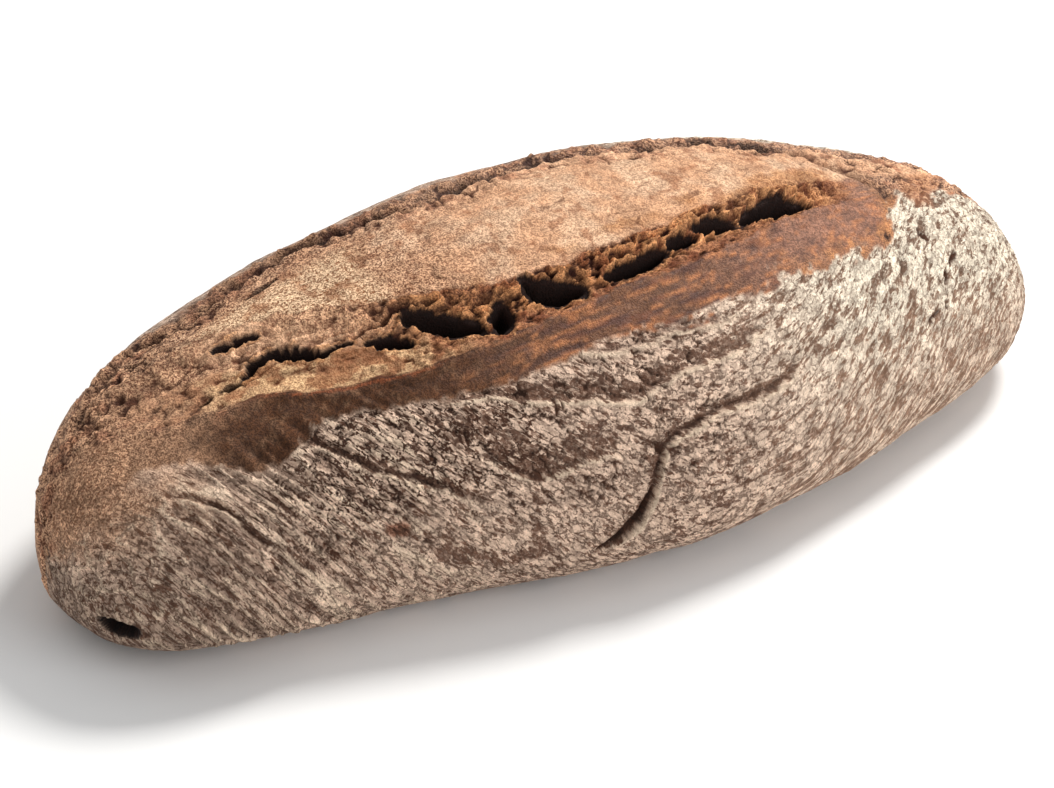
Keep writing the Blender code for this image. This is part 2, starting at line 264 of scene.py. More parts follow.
def line_at(points, x):
    """The girth angle of a line at x, through its points on a smooth curve."""
    at, angle = np.array(points, float).T
    slope = np.gradient(angle, at)
    i = np.clip(np.searchsorted(at, x) - 1, 0, len(at) - 2)
    run = at[i + 1] - at[i]
    s = np.clip((x - at[i]) / run, 0, 1)
    return (
        angle[i] * (1 + 2 * s) * (1 - s) ** 2
        + angle[i + 1] * s * s * (3 - 2 * s)
        + run * (slope[i] * s * (1 - s) ** 2 + slope[i + 1] * s * s * (s - 1))
    )


def hashed(x, y, z):
    key = (x * 73856093) ^ (y * 19349663) ^ (z * 83492791)
    key = (key ^ (key >> 13)) * 1274126177
    return key ^ (key >> 16)


def noise(points, size, seed):
    """Smooth random values from about -1 to 1 at points, with bumps of that size."""
    directions = np.random.default_rng(seed).normal(size=(256, 3))
    directions /= np.linalg.norm(directions, axis=1, keepdims=True)
    scaled = points / size
    cell = np.floor(scaled).astype(np.int64)
    inside = scaled - cell
    eased = inside**3 * (inside * (inside * 6 - 15) + 10)
    total = np.zeros(points.shape[:-1])
    for corner in product((0, 1), repeat=3):
        key = hashed(*np.moveaxis(cell + corner, -1, 0))
        pull = (directions[key & 255] * (inside - corner)).sum(-1)
        total += pull * np.where(corner, eased, 1 - eased).prod(-1)
    return total * 1.6


def ridges(points, size, seed):
    """Narrow crests: 1 along winding lines and falling to 0 between them."""
    return 1 - np.minimum(np.abs(noise(points, size, seed)) * 2.2, 1)


def cells(points, size, seed):
    """The distance to the nearest of scattered points, as a share of size."""
    scattered = np.random.default_rng(seed).uniform(0.05, 0.95, size=(1024, 3))
    scaled = points / size
    cell = np.floor(scaled).astype(np.int64)
    nearest = np.full(points.shape[:-1], np.inf)
    for neighbour in product((-1, 0, 1), repeat=3):
        there = cell + neighbour
        spot = there + scattered[hashed(*np.moveaxis(there, -1, 0)) & 1023]
        nearest = np.minimum(nearest, np.sqrt(((spot - scaled) ** 2).sum(-1)))
    return nearest


def swell(weights, along):
    """A factor of about 1 that changes along the loaf."""
    return legval(along, (1, *weights))


def plain_form(turn, girth):
    """Points of the plain loaf. turn goes from 0 at the left tip to 180 at the right, girth goes round it."""
    along = -np.cos(np.radians(turn))
    end = np.clip(np.sin(np.radians(turn)), 1e-6, 1)
    across, up = np.cos(np.radians(girth)), np.sin(np.radians(girth))
    front = FRONT_HALF_WIDTH * swell(FRONT_SWELL, along)
    back = BACK_HALF_WIDTH * swell(BACK_SWELL, along)
    side = np.where(across > 0, front, back) * end**WIDTH_END_POWER
    rise = (HEIGHT * swell(HEIGHT_SWELL, along) - WAIST_HEIGHT) * end**HEIGHT_END_POWER
    drop = WAIST_HEIGHT * UNDERSIDE_DROP * end**UNDERSIDE_END_POWER
    y = -side * np.sign(across) * np.abs(across) ** SECTION_SIDE_POWER
    height = np.where(up > 0, rise, drop) * np.sign(up) * np.abs(up) ** SECTION_TOP_POWER
    return np.stack([LENGTH / 2 * along, y, WAIST_HEIGHT + height], -1)


def unit(vectors):
    return vectors / np.maximum(np.linalg.norm(vectors, axis=-1, keepdims=True), 1e-9)


def directions_on(turn, girth):
    """The outward normal, and how many millimetres a girth degree covers."""
    step = 0.2
    around = plain_form(turn, girth + step) - plain_form(turn, girth - step)
    per_degree = np.linalg.norm(around, axis=-1) / (2 * step)
    inner = np.clip(turn, 1.0, 179.0)
    lengthwise = plain_form(inner + step, girth) - plain_form(inner - step, girth)
    around_inner = plain_form(inner, girth + step) - plain_form(inner, girth - step)
    return unit(np.cross(lengthwise, around_inner)), per_degree


def base_edge_angle(x):
    """How many girth degrees below the waist the underside meets the floor."""
    end = np.sqrt(1 - (2 * x / LENGTH) ** 2)
    reach = UNDERSIDE_DROP * end**UNDERSIDE_END_POWER
    angle = np.degrees(np.arcsin(np.minimum(1 / reach, 1) ** (1 / SECTION_TOP_POWER)))
    return np.minimum(angle, LARGEST_BASE_ANGLE)


def girth_rows(x):
    """The girth angle of each row at each x, so that rows follow the base, the burst and the cracks."""
    crack = line_at(BACK_CRACK, x)
    base = base_edge_angle(x)
    stops = [
        np.full_like(x, -90.0),
        -base,
        line_at(FLOUR_EDGE, x),
        line_at(TORN_EDGE, x),
        line_at(CAVITY_LINE, x),
        line_at(LIP_TOP, x),
        crack - CRACK_ROWS_HALF_ANGLE,
        crack + CRACK_ROWS_HALF_ANGLE,
        180 + base,
        np.full_like(x, 270.0),
    ]
    parts = []
    for low, high, count in zip(stops, stops[1:], ROW_COUNTS):
        shares = np.arange(count) / count
        parts.append(low[:, None] + (high - low)[:, None] * shares)
    return np.concatenate(parts, 1)


def nearest_on(line, x, girth):
    """(distance to a line drawn on the skin, how far along it, its whole length).

    The distance is positive on the right of the line and negative on its left.
    """
    corners = np.array(line, float) * (1, np.radians(FOLD_GIRTH_RADIUS))
    at = np.stack([x, girth * np.radians(FOLD_GIRTH_RADIUS)], -1)
    nearest = np.full(x.shape, np.inf)
    side = np.zeros_like(x)
    reached = np.zeros_like(x)
    passed = 0.0
    for start, end in zip(corners, corners[1:]):
        way = end - start
        length = np.linalg.norm(way)
        share = np.clip(((at - start) @ way) / length**2, 0, 1)
        off = at - start - share[..., None] * way
        distance = np.linalg.norm(off, axis=-1)
        closer = distance < nearest
        nearest = np.where(closer, distance, nearest)
        side = np.where(closer, np.sign(way[1] * off[..., 0] - way[0] * off[..., 1]), side)
        reached = np.where(closer, passed + share * length, reached)
        passed += length
    return nearest * side, reached, passed


def flow_points(plain):
    """The loaf's points twisted about its length, so that the crackle of the skin runs along X in them."""
    at, slope = np.array(FLOW, float).T
    steps = np.linspace(at[0], at[-1], 321)
    turned = np.cumsum(np.interp(steps, at, slope)) * (steps[1] - steps[0]) / FLOW_RADIUS
    angle = np.interp(plain[..., 0], steps, turned)
    x, y, z = np.moveaxis(plain, -1, 0)
    z = z - WAIST_HEIGHT
    return np.stack([x, y * np.cos(angle) - z * np.sin(angle), z * np.cos(angle) + y * np.sin(angle)], -1)


def colour(red, green, blue):
    """A colour in linear light from its values of 0 to 255."""
    share = np.array([red, green, blue]) / 255
    return np.where(share > 0.04045, ((share + 0.055) / 1.055) ** 2.4, share / 12.92)


GRAIN = {name: colour(*tones[0]) for name, tones in TONES.items()}
GAP = {name: colour(*tones[-1]) for name, tones in TONES.items()}


def blend_in(under, over, amount):
    return under + (over - under) * amount[..., None]


def mixed(first, second, share):
    """The tone at each point between two tones."""
    return first * (1 - share[..., None]) + second * share[..., None]


class Skin:
    """The fine surface of the loaf: points, and what each point is made of.

    Sizes and distances are in millimetres and shares go from 0 to 1. The last value that each noise is given
    is its seed.
    """

    def __init__(self, turn, girth):
        self.girth = girth
        self.plain = plain_form(turn, girth)
        self.x = self.plain[..., 0]
        self.normal, self.per_degree = directions_on(turn, girth)
        self.flow = flow_points(self.plain)
        self.rise = np.zeros_like(self.x)
        self.local = np.zeros_like(self.x)
        self.sort_regions()
        self.tear_burst()
        self.open_cracks()
        self.lay_folds()
        self.crackle_skin()
        self.roughen()
        self.sink_end_pit()
        self.dents, _ = self.sink_holes(DENTS)
        self.paint()

    def noise(self, size, seed):
        return noise(self.plain, size, seed)

    def spots(self, size, seed, low, high):
        """1 in random spots of that size and 0 between them."""
        return rises(self.noise(size, seed), low, high)

    def drift(self, size, seeds):
        """A random way and distance at each point, to bend patterns with."""
        return np.stack([self.noise(size, seed) for seed in seeds], -1)

    def fine(self, height):
        """Adds fine relief, which also sets the painted highlight and painted shade of each point."""
        self.rise += height
        self.local += height

    def sort_regions(self):
        """Which part of the loaf each point belongs to, with ragged borders."""
        x, girth = self.x, self.girth
        self.fray = 1.5 * self.noise(9.0, 41) + 1.0 * self.noise(3.6, 42) + 0.6 * self.noise(1.7, 43)
        ragged = self.fray / self.per_degree.clip(LEAST_PER_DEGREE)
        g = girth + ragged
        lines = (TORN_EDGE, CAVITY_LINE, LIP_TOP, BACK_CRACK)
        edge, cavity, lip, crack = (line_at(line, x) for line in lines)
        self.past_edge = (girth + 0.6 * ragged - edge) * self.per_degree
        self.past_cavity = (girth - cavity) * self.per_degree
        self.past_lip = (g - lip) * self.per_degree
        self.past_crack = (g - crack) * self.per_degree
        tongues = 3.5 * noise(self.flow / (5, 1, 1), 3.5, 44) + 2.0 * noise(self.flow / (3, 1, 1), 1.8, 45)
        tongues = tongues * (0.25 + 0.75 * rises(x, -30, 20)) + 1.5 * self.noise(2.4, 118)
        self.past_flour = (girth + 0.8 * ragged - line_at(FLOUR_EDGE, x)) * self.per_degree + tongues
        self.shelf = np.clip((g - edge) / (cavity - edge), 0, 1)
        self.wall = np.clip((g - cavity) / (lip - cavity), 0, 1)
        grows, shrinks = BURST_FADES
        self.burst = rises(x, *grows) * falls(x, *shrinks)
        self.torn = rises(self.past_edge, -0.4, 0.6) * falls(self.past_lip, -0.5, 1.5)
        self.torn = self.torn * self.burst
        self.crossing, reached, length = nearest_on(CROSSING_CRACK, x, g)
        self.crossing_strength = rises(reached, 0, 15) * falls(reached, length - 15, length)
        wavering = x + 9 * self.noise(14.0, 46) + 5 * self.noise(4.0, 125)
        self.left_end = falls(wavering, -152, -108)
        self.left_tip = falls(x + 8 * self.noise(14.0, 46), -154, -106)
        self.right_end = rises(x + 4 * self.noise(12.0, 47), 96, 112)

    def sink_holes(self, holes):
        """Deep ragged holes. Returns how much each point lies in one, and how far it is from the nearest."""
        ragged = 0.7 * self.noise(4.5, 50) + 0.9 * self.noise(2.3, 51) + 0.5 * self.noise(1.2, 52)
        fray = self.noise(1.9, 121) + 0.6 * self.noise(1.0, 122)
        sunk = np.zeros_like(self.x)
        nearest = np.full_like(self.x, np.inf)
        for line, half_width, deepest in holes:
            away, reached, length = nearest_on(line, self.x, self.girth)
            taper = 1 - 0.4 * (2 * reached / length - 1) ** 2
            evenly = np.abs(away) - half_width * taper
            outside = evenly + ragged * min(half_width / 2.5, 1)
            brink = min(BRINK_SHARE * deepest, DEEPEST_BRINK)
            self.rise -= brink * falls(outside, -0.5, 0.1)
            funnel = falls(evenly, -0.9 * half_width, -0.2 * half_width)
            self.rise -= (deepest - brink) * funnel
            sunk = np.maximum(sunk, falls(outside, -0.3, 0.15))
            frayed = evenly + fray * half_width / 3
            sunk = np.maximum(sunk, falls(frayed, -0.35 * half_width, -0.2 * half_width))
            nearest = np.minimum(nearest, outside)
        return sunk, nearest

    def patch(self, line, half_width):
        """1 inside a ragged patch round a line, falling to 0 outside it."""
        away, _, _ = nearest_on(line, self.x, self.girth)
        return falls(np.abs(away) + self.fray, 0.5 * half_width, 1.3 * half_width)

    def tear_burst(self):
        """The sunk shelf and the raised lip of the burst, its holes and its ragged crumb."""
        depth = TORN_DEPTH * rises(self.shelf, 0.0, 0.5) * falls(self.wall, 0.1, 0.9)
        rise = -depth + LIP_RISE * rises(self.wall, 0.3, 0.9) * bank(self.past_lip, LIP_REACH)
        rise += SKIN_EDGE_RISE * hump(self.past_edge, -1.6, -0.3, 1.2)
        self.rise += rise * self.burst
        self.holes, from_hole = self.sink_holes(HOLES)
        self.back_holes, _ = self.sink_holes(BACK_HOLES)
        near = falls(from_hole, 1.5, 7.0)
        # A raised ragged rim round the holes, whose colour is also lightened as a painted highlight.
        self.hole_rim_highlight = hump(from_hole, 0.25, 0.7, 0.35) * self.spots(3.0, 124, -0.5, 0.1)
        self.fine(HOLE_RIM_RISE * self.hole_rim_highlight)
        face = rises(self.past_cavity, -2.5, 0.5) * falls(self.past_lip, -1.5, 1.5)
        self.lip = face * self.burst * (0.25 + 0.75 * near)
        warped = self.plain * (0.4, 1, 1) + 0.8 * self.drift(3.0, (53, 54, 55))
        shreds = ridges(warped, 3.0, 56) ** 1.5 + 0.3 * ridges(warped, 1.2, 119) - 0.1
        crumbs = 0.75 * self.noise(2.6, 57) + 0.65 * self.noise(1.3, 58)
        veins = rises(ridges(warped / (1.6, 1, 1), 4.4, 144), 0.84, 0.96)
        veins = veins * self.spots(8.0, 145, -0.25, 0.2)
        around_holes = hump(self.past_cavity, -6, 7, 3) * hump(self.x, -112, -60, 18)
        self.lip_cracks = veins * (around_holes * (1 - self.holes) * self.burst)
        self.fine(-LIP_CRACK_DEPTH * self.lip_cracks)
        hollow = cells(self.plain * (0.7, 1, 1), 2.6, 113)
        self.crumb_pits = rises(hollow, 0.6, 0.8) * self.spots(7.0, 114, -0.2, 0.3) * self.torn
        crumbs = crumbs - CRUMB_PIT_DEPTH * self.crumb_pits
        calmer = 1 - 0.45 * falls(self.x, -88, -58)
        ragged = crumbs + SHRED_HEIGHT * (shreds - 0.5) * (0.25 + 0.75 * self.lip)
        self.fine(self.torn * (1 - self.holes) * ragged * calmer)
        layers = ridges(self.plain * (0.22, 1, 1) + 0.4 * self.noise(6.0, 59)[..., None], 2.3, 60)
        flaky = rises(self.noise(10.0, 61) + 0.012 * (self.x - 20), -0.3, 0.4)
        self.flaky = hump(self.past_lip, -6, 5, 3) * flaky * self.burst * (1 - self.holes)
        self.fine(FLAKE_HEIGHT * (layers - 0.45) * self.flaky)

    def open_cracks(self):
        """The crack along the back of the crown, and the crack that crosses to the front at the right."""
        away = self.past_crack
        groove = bell(away, BACK_CRACK_HALF_WIDTH)
        rim = bell(np.abs(away) - 2.2 * BACK_CRACK_HALF_WIDTH, BACK_CRACK_HALF_WIDTH)
        patchy = rises(self.noise(11.0, 22) + 0.4 * self.noise(4.0, 25), -0.35, 0.25)
        strength = rises(self.x, -152, -140) * falls(self.x, 70, 100) * (0.15 + 0.85 * patchy)
        self.back_crack = groove * strength
        behind = rises(away, 0, 2.5) * bank(away, BACK_CRACK_BANK_REACH)
        relief = BACK_CRACK_RIM_RISE * rim + BACK_CRACK_BANK_RISE * behind - BACK_CRACK_DEPTH * groove
        self.rise += strength * relief
        self.fine((0.6 * self.noise(2.2, 23) + 0.5 * self.noise(4.0, 24)) * hump(away, -4, 4, 3) * strength)
        groove = bell(self.crossing, CROSSING_CRACK_HALF_WIDTH)
        raised = bank(-self.crossing, CROSSING_BANK_REACH) * rises(-self.crossing, -1.0, 2.0)
        self.rise += self.crossing_strength * (CROSSING_BANK_RISE * raised - CROSSING_CRACK_DEPTH * groove)
        self.crossing_crack = groove * self.crossing_strength

    def lay_folds(self):
        """Steps in the skin, each with a rim on its raised side, and a crease with painted shade and bare
        crust below it.
        """
        self.fold_bare = np.zeros_like(self.x)
        self.fold_rim = np.zeros_like(self.x)
        self.crease = np.zeros_like(self.x)
        wander = 0.9 * self.noise(9.0, 62) + 0.2 * self.noise(3.0, 63)
        for line, step, bare, rim_width in FOLDS:
            away, reached, length = nearest_on(line, self.x, self.girth)
            away = away + wander
            fades = rises(reached, 0, FOLD_END_FADE)
            fades = fades * falls(reached, length - FOLD_END_FADE, length)
            raised = bank(away, FOLD_RAISED_REACH) * rises(away, -0.6, 0.6)
            sunk = bank(-away, FOLD_SUNK_REACH) * rises(-away, -0.6, 0.6)
            rim = bell(away - rim_width, rim_width) * fades * (0.6 + 0.4 * self.spots(6.0, 126, -0.4, 0.2))
            self.rise += step * fades * (0.6 * raised - 0.6 * sunk) + FOLD_RIM_RISE * rim
            self.fold_rim = np.maximum(self.fold_rim, rim)
            # Painted shade in the crease on the low side of each fold, strongest for high steps with little
            # bare crust.
            shaded = min(step / 2, 1) * (1 if bare < SHADED_BARE_WIDTH else 0.3)
            self.crease = np.maximum(self.crease, fades * hump(away, -1.3, -0.4, 0.6) * shaded)
            bare_share = hump(away + 1.4 * self.noise(4.0, 64), -bare, -0.5, 0.3 * bare)
            self.fold_bare = np.maximum(self.fold_bare, fades * bare_share)

    def crackle_skin(self):
        """Flour dries and cracks into plates that are long in the way the skin was stretched."""
        x, girth = self.x, self.girth
        on_top = rises(-self.past_flour, -0.8, 1.2)
        ragged = self.past_crack + 3.0 * self.noise(6.0, 127) + 2.0 * self.noise(2.6, 128)
        self.flour = np.clip(on_top + rises(ragged, 8.5, 11), 0, 1)
        warp = self.drift(4.0, (71, 72, 73))
        bent = self.flow + 1.6 * warp
        lines = ridges(bent / (3.2, 1, 1), 4.2, 74)
        broken = rises(self.noise(10.0, 75) + 0.4 * self.noise(3.5, 143), -0.45, 0.15)
        bark = hump(x, -112, 5, 25) * hump(girth, 14, 46, 10)
        self.fissure = rises(lines, 0.83, 0.96) * broken * self.flour * (0.25 + 0.75 * bark)
        plates = noise(bent / (2.0, 1, 1), 2.2, 76)
        plate_rise = PLATE_HEIGHT * plates * (0.4 + bark)
        self.fine(self.flour * (plate_rise - FISSURE_DEPTH * self.fissure))
        wrinkles = ridges(self.flow / (9.0, 1, 1) + 0.25 * warp, 4.6, 77)
        wrinkled = hump(x, -150, -75, 30) * hump(girth, -25, 50, 10)
        self.crests = rises(wrinkles, 0.62, 0.95) * wrinkled * self.flour
        self.bark = hump(x, -92, -48, 16) * hump(girth, 24, 46, 8)
        self.fine((0.9 + 0.6 * hump(x, -132, -96, 12)) * (wrinkles**2 - 0.4) * wrinkled)
        rightward = rises(x, 10, 70)
        streams = noise(self.flow / (4.0, 1, 1) + 0.3 * warp, 3.4, 138)
        streams = streams + 0.5 * noise(self.flow / (2.5, 1, 1), 1.7, 139)
        upward = 0.35 + 0.65 * rises(girth, 8, 40)
        self.gullies = rises(streams, 0.12, 0.5) * rightward * upward
        self.streams = rises(-streams, 0.1, 0.5) * rightward
        self.fine(-GULLY_DEPTH * self.gullies * self.flour)
        streaks = ridges(self.flow / (6.0, 1, 1), 2.6, 78) ** 2
        self.fine(STREAK_HEIGHT * (streaks - 0.3) * rightward * self.flour)

    def roughen(self):
        """Coarse crags at both ends and along the back crack, fine cracks in the crown, and low lumps."""
        crust = 1 - self.flour
        leftmost = falls(self.x + 8 * self.noise(14.0, 123), -128, -98)
        coarse = leftmost * rises(self.past_edge, -5, 3) + self.right_end * hump(self.past_lip, -6, 14, 5)
        coarse = coarse + 0.8 * hump(self.past_crack, -7, 8, 4)
        self.coarse = np.clip(coarse, 0, 1) * falls(self.past_crack, 10, 18) * (1 - 0.6 * self.torn)
        self.fine(crust * (0.16 * self.noise(2.6, 81) + 0.1 * self.noise(1.3, 82)) * (1 - self.torn))
        hollow = cells(self.plain * (0.8, 1, 1), 2.8, 83)
        self.pits = rises(hollow, 0.62, 0.85) * self.spots(9.0, 84, -0.3, 0.3) * self.coarse
        crags = 1.0 * self.noise(3.4, 85) + 0.5 * self.noise(1.6, 86)
        self.fine(self.coarse * crags - CRUST_PIT_DEPTH * self.pits)
        wrenched = self.plain + 2.0 * self.drift(5.0, (129, 130, 131))
        split = rises(ridges(wrenched, 9.0, 132), 0.8, 0.97) * self.spots(12.0, 133, -0.3, 0.2)
        self.crust_cracks = split * self.coarse * rises(self.past_edge, -3, 2)
        self.fine(-CRUST_CRACK_DEPTH * self.crust_cracks)
        self.strip = rises(self.past_lip, -0.5, 1.0) * falls(self.past_crack, -3, -1)
        cracks = ridges(self.flow / (3.0, 1, 1), 5.5, 87)
        sparse = self.spots(14.0, 88, 0.05, 0.4)
        thin = 0.6 * rises(cracks + 0.15 * self.noise(1.8, 115), 0.88, 0.99)
        self.strip_cracks = thin * sparse * self.strip
        self.rise -= STRIP_CRACK_DEPTH * self.strip_cracks
        self.rise += LUMP_HEIGHT * self.noise(LUMP_SIZE, 31) + KNOB_HEIGHT * self.noise(KNOB_SIZE, 32)
        self.rise += CROWN_LUMP_HEIGHT * self.noise(16.0, 33) * self.strip

    def sink_end_pit(self):
        """The oval pit in the left end."""
        from_pit = self.plain - END_PIT
        lengthwise = from_pit @ np.array(END_PIT_WAY)
        upward = from_pit[..., 2] - lengthwise * END_PIT_WAY[2]
        share = np.hypot(lengthwise / END_PIT_HALF_LENGTH, upward / END_PIT_HALF_HEIGHT)
        share = share + 0.12 * self.noise(3.0, 89)
        share = share + 10 * rises(np.linalg.norm(from_pit, axis=-1), 10, 15)
        self.end_pit = falls(share, 0.92, 1.06)
        self.rise -= END_PIT_DEPTH * falls(share, 0.5, 1.0)

    def points(self):
        above = rises(self.plain[..., 2], 0, BASE_FADE)
        points = self.plain + (self.rise * above)[..., None] * self.normal
        points[..., 2] = np.maximum(points[..., 2], 0)
        return points

    def paint(self):
        """Two colours at each point, of its grains and of the gaps between them, and how it is grained."""
        self.rightward = rises(self.x, 0, 80)
        self.clouds = 0.5 + 0.5 * self.noise(24.0, 93)
        self.high = np.broadcast_to(GRAIN["dark skin"], (*self.x.shape, 3))
        self.low = np.broadcast_to(GAP["dark skin"], (*self.x.shape, 3))
        self.paint_skin()
        self.paint_burst()
        self.paint_crown()
        self.paint_flour()
        self.paint_hollows()
        self.wear()

    def coat(self, tone, amount, in_gaps=None):
        """Blends a named tone into the grains, and into the gaps where an amount is given for them."""
        self.high = blend_in(self.high, GRAIN[tone], amount)
        if in_gaps is not None:
            self.low = blend_in(self.low, GAP[tone], in_gaps)

    def coat_between(self, tone, left_tone, leftward, amount):
        """Blends in a named tone that turns to another at the left, in the grains and the gaps."""
        self.high = blend_in(self.high, mixed(GRAIN[tone], GRAIN[left_tone], leftward), amount)
        self.low = blend_in(self.low, mixed(GAP[tone], GAP[left_tone], leftward), amount)

    def paint_skin(self):
        """The skin under the burst: dark at the left, and a smooth band with orange streaks at the right."""
        x, girth = self.x, self.girth
        self.band = rises(x + 8 * self.noise(12.0, 91), -72, -10)
        band = self.band
        self.high = blend_in(self.high, mixed(GRAIN["band"], GRAIN["bright band"], self.rightward), band)
        self.low = blend_in(self.low, GAP["band"], band)
        along = self.plain + 1.0 * self.drift(7.0, (103, 104, 105))
        streaks = noise(along / (12, 1, 1), 1.6, 94) + 0.6 * noise(along / (8, 1, 1), 0.9, 95)
        streaks = rises(streaks + 0.4 * self.noise(22.0, 106), -0.1, 0.5)
        dark_streaks = noise(along / (8, 1, 1), 1.7, 96) + 0.4 * noise(along / (5, 1, 1), 0.9, 107)
        dark_streaks = rises(dark_streaks, 0.0, 0.4)
        calm = rises(x, 20, 80)
        self.coat("orange streak", band * streaks * (0.85 - 0.2 * calm), band * streaks * 0.8)
        self.coat("dark streak", band * dark_streaks * (0.8 - 0.4 * calm))
        hook = bell(self.crossing, 3.0) * rises(x, 96, 102) * falls(girth, 78, 86)
        spotty = 0.35 + 0.65 * self.spots(7.0, 140, -0.1, 0.3)
        hook = np.maximum(hook, hump(self.past_flour, 0.5, 4, 3) * hump(x, 60, 98, 14) * spotty)
        self.coat("orange hook", 0.85 * np.clip(hook, 0, 1))
        flecks = rises(self.noise(2.8, 141) + 0.5 * self.noise(1.4, 142), 0.1, 0.5) * (1 - band)
        self.coat("fleck", 0.5 * flecks)
        end = self.left_end * (1 - self.strip) * (1 - 0.5 * self.torn)
        grainy = 1 + 0.16 * np.clip(self.noise(5.0, 146) + 0.8 * self.noise(2.2, 147), -1, 1)
        self.high = blend_in(self.high, GRAIN["left end"] * grainy[..., None], end)
        self.low = blend_in(self.low, GAP["left end"], end)

    def paint_burst(self):
        """The torn burst: a pale crumb shelf, then the scorched face of the lip, and the rind beside them."""
        x = self.x
        self.torn_shelf = rises(self.past_edge, -0.3, 0.6) * falls(self.past_cavity, 0, 2)
        self.torn_shelf = self.torn_shelf * self.burst
        pale = self.torn_shelf * falls(x + 7 * self.noise(11.0, 108), -68, -42)
        leftmost = falls(x + 5 * self.noise(9.0, 120), -120, -104)
        self.coat_between("shelf", "left shelf", leftmost, self.torn_shelf)
        pale = pale * rises(x, -124, -112)
        self.coat("pale shelf", pale, pale)
        mottled = self.noise(6.0, 116) + 0.5 * self.noise(2.5, 117) + 0.05 * self.past_edge
        browner = self.torn_shelf * rises(mottled, 0.1, 0.5)
        self.coat("brown shelf", browner * 0.75)
        leftward = rises(-x, 50, 80)
        face = rises(self.past_cavity, 0, 2) * falls(self.past_lip, -0.5, 1.0) * self.burst
        self.coat_between("face", "left face", leftward, face)
        self.coat_between("lip", "left lip", leftward, self.lip)
        self.coat("scorched crumb", 0.6 * self.patch(*SCORCHED_CRUMB))
        self.coat("lip crack", 0.85 * self.lip_cracks)
        rind = self.burst * hump(x, -112, -70, 20)
        self.coat("rind", rind * hump(self.past_edge, -0.9, -0.5, 0.4) * 0.6)
        crack = rind * hump(self.past_edge, 0.0, 0.5, 0.4) * self.spots(8.0, 109, -0.3, 0.3)
        self.coat("under the rind", crack)

    def paint_crown(self):
        """The pale strip between the burst and the back crack, and the coarse crust at the ends."""
        x = self.x
        strip = self.strip * (1 - 0.8 * self.left_end)
        self.coat("strip", strip, strip)
        pale = strip * rises(self.noise(20.0, 97) + 0.5 * self.noise(5.0, 98), -0.1, 0.6)
        self.coat("pale strip", pale * 0.8)
        yellow = strip * hump(x + 6 * self.noise(12.0, 110), -104, -66, 14)
        yellow = yellow * falls(self.girth, 96, 104)
        self.coat("yellow strip", yellow * 0.8, yellow * 0.6)
        brown = strip * rises(self.noise(7.0, 111) + 0.6 * self.noise(2.5, 112), 0.15, 0.6)
        self.coat("brown strip", brown * 0.7)
        self.high = self.high * (1 + 0.1 * strip * falls(x, -90, -60))[..., None]
        self.coat("flake", self.flaky * (1 - self.holes) * 0.8, self.flaky * 0.8)
        self.coat("coarse crust", self.coarse * 0.85, self.coarse * 0.9)
        ruddy = self.coarse * rises(self.noise(8.0, 134) + 0.5 * self.noise(3.0, 135), 0.05, 0.5)
        self.coat("ruddy crust", ruddy * 0.7)

    def paint_flour(self):
        """Flour, grey and thin at the left and cream and thick at the right, and single spots of colour."""
        x, girth = self.x, self.girth
        bare_tip = self.left_tip * rises(girth + 10 * self.noise(9.0, 102), 26, 64)
        self.floured = self.flour * (1 - 0.9 * bare_tip)
        cream = self.rightward * (0.35 + 0.65 * rises(girth, 0, 40))
        lower_left = falls(x, -140, -100) * falls(girth, 10, 45)
        grey_flour = np.broadcast_to(GRAIN["grey flour"], self.high.shape) * (1 - 0.4 * lower_left)[..., None]
        flour_high = blend_in(grey_flour, GRAIN["cream flour"], cream)
        flour_high = flour_high * (1 + 0.12 * self.bark + 0.1 * falls(x, -110, -80))[..., None]
        flour_low = mixed(GAP["grey flour"], GAP["cream flour"], self.rightward)
        upper_right = rises(x, 20, 60) * rises(girth, 20, 45)
        flour_low = blend_in(flour_low, colour(*UPPER_FLOUR_GAP), upper_right)
        self.high = blend_in(self.high, flour_high, self.floured)
        self.low = blend_in(self.low, flour_low, self.floured)
        self.coat("fold rim", self.fold_rim * 0.8 * self.floured)
        self.coat("crest", self.crests * 0.7)
        self.red = self.patch(*RED_SPOT) * 0.8
        self.coat("red spot", self.red)
        self.orange = self.patch(*ORANGE_PATCH)
        self.coat("orange patch", self.orange * 0.8, self.orange)
        # Painted highlight on the rims round the holes.
        self.coat("hole rim highlight", self.hole_rim_highlight * 0.7)
        singed = self.torn * rises(self.noise(5.0, 136) + 0.6 * self.noise(2.0, 137), 0.0, 0.45)
        self.coat("singed crumb", singed * (0.2 + 0.55 * rises(x, -70, -30)))
        self.high = self.high * (1 - 0.12 * self.clouds[..., None])

    def paint_hollows(self):
        """Painted highlight on what stands up, darker cracks and pits, and painted shade in sunk relief,
        creases, holes, slits, dents and the end pit.
        """
        # Painted highlight on the raised fine relief.
        self.high = self.high * (1 + 0.4 * rises(self.local, 0.2, 1.1))[..., None]
        # Painted shade where the fine relief is sunk and in the fold creases, together with the darker cracks
        # and pits.
        sunk = rises(-self.local, 0.12, 0.95)
        cracks_and_shade = self.fissure + self.strip_cracks + self.pits + 0.9 * self.back_crack
        cracks_and_shade = cracks_and_shade + 0.6 * self.crossing_crack + 0.7 * self.crumb_pits
        cracks_and_shade = cracks_and_shade + 0.9 * self.crust_cracks + 0.5 * self.lip_cracks
        cracks_and_shade = np.clip(cracks_and_shade + 0.8 * sunk + 0.8 * self.crease, 0, 1)
        self.high = blend_in(self.high, 0.75 * self.low, cracks_and_shade)
        self.low = self.low * (1 - 0.5 * cracks_and_shade[..., None])
        # Painted shade: the deep tone fills the holes, the end pit, the back holes and the middle of the back
        # crack, and partly the dents, which are first painted dark brown.
        slits = 0.8 * self.back_holes + 0.75 * rises(self.back_crack, 0.3, 0.8)
        self.coat("dent", self.dents)
        deep = np.clip(self.holes + slits + self.end_pit + 0.45 * self.dents, 0, 1)
        self.coat("deep", deep, deep)

